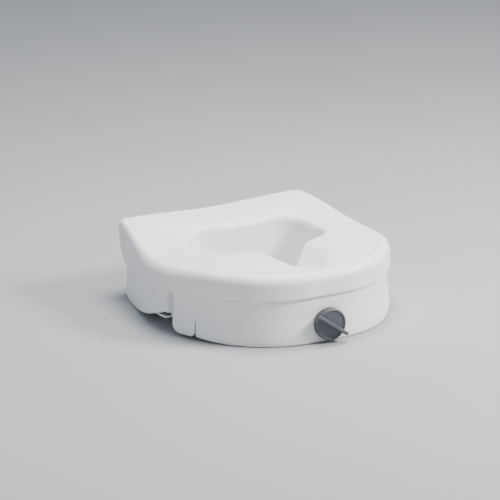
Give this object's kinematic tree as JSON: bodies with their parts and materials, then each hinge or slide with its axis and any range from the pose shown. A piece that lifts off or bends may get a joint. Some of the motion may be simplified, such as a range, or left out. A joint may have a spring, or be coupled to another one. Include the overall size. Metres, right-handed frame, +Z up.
{
  "type": "raised toilet seat",
  "caption": "Moulded raised toilet seat with a rounded triangular opening, a front lip and a front knob whose screw draws a clamp against the bowl's rim.",
  "frame": {"origin": "under the middle of the whole object, on the plane that the front lip and rear skirts stand on", "axes": "+Z up, -Y to the front of the seat where the knob is, +X to the right of a viewer who faces the knob"},
  "size_m": [0.406, 0.416, 0.1306],
  "materials": {
    "shell_white": "satin moulded polyethylene",
    "knob_grey": "fine-textured moulded plastic",
    "rod_nylon": "glass-filled nylon, slightly rough",
    "nylon_white": "natural nylon, satin",
    "rubber_grey": "matt rubber",
    "steel": "zinc-plated",
    "brass": "turned"
  },
  "bodies": {
    "root": {"seat_shell": "shell_white", "base_shell": "shell_white", "shell_screws": "steel", "front_bush": "nylon_white", "guide_rail_left": "nylon_white", "guide_rail_right": "nylon_white", "rail_screws": "steel", "rod_end_bearing": "nylon_white", "bearing_screws": "steel", "rear_hook_left": "nylon_white", "rear_hook_right": "nylon_white", "hook_screws": "steel", "hook_pad_left": "rubber_grey", "hook_pad_right": "rubber_grey", "rest_pads": "rubber_grey", "lip_pad": "rubber_grey"},
    "knob": {"locking_knob": "knob_grey", "knob_pin": "steel", "threaded_rod": "rod_nylon", "thrust_washer": "steel", "retaining_clip": "steel"},
    "clamp": {"clamp_slider": "rod_nylon", "clamp_nut": "brass", "nut_cover": "rod_nylon", "cover_screws": "steel", "clamp_pad": "rubber_grey", "pad_rivets": "steel"}
  },
  "joints": [
    {"name": "knob_turn", "type": "hinge", "parent": "root", "child": "knob", "pos_m": [0, -0.179, 0.03], "axis": [0, 1, 0], "range_deg": [-1440, 360]},
    {"name": "clamp_slide", "type": "slide", "parent": "root", "child": "clamp", "axis": [0, -1, 0], "range_m": [-0.02401, 0.00601]}
  ],
  "couplings": [
    {"joint": "clamp_slide", "follows": "knob_turn", "m_per_rad": 0.00095493}
  ]
}
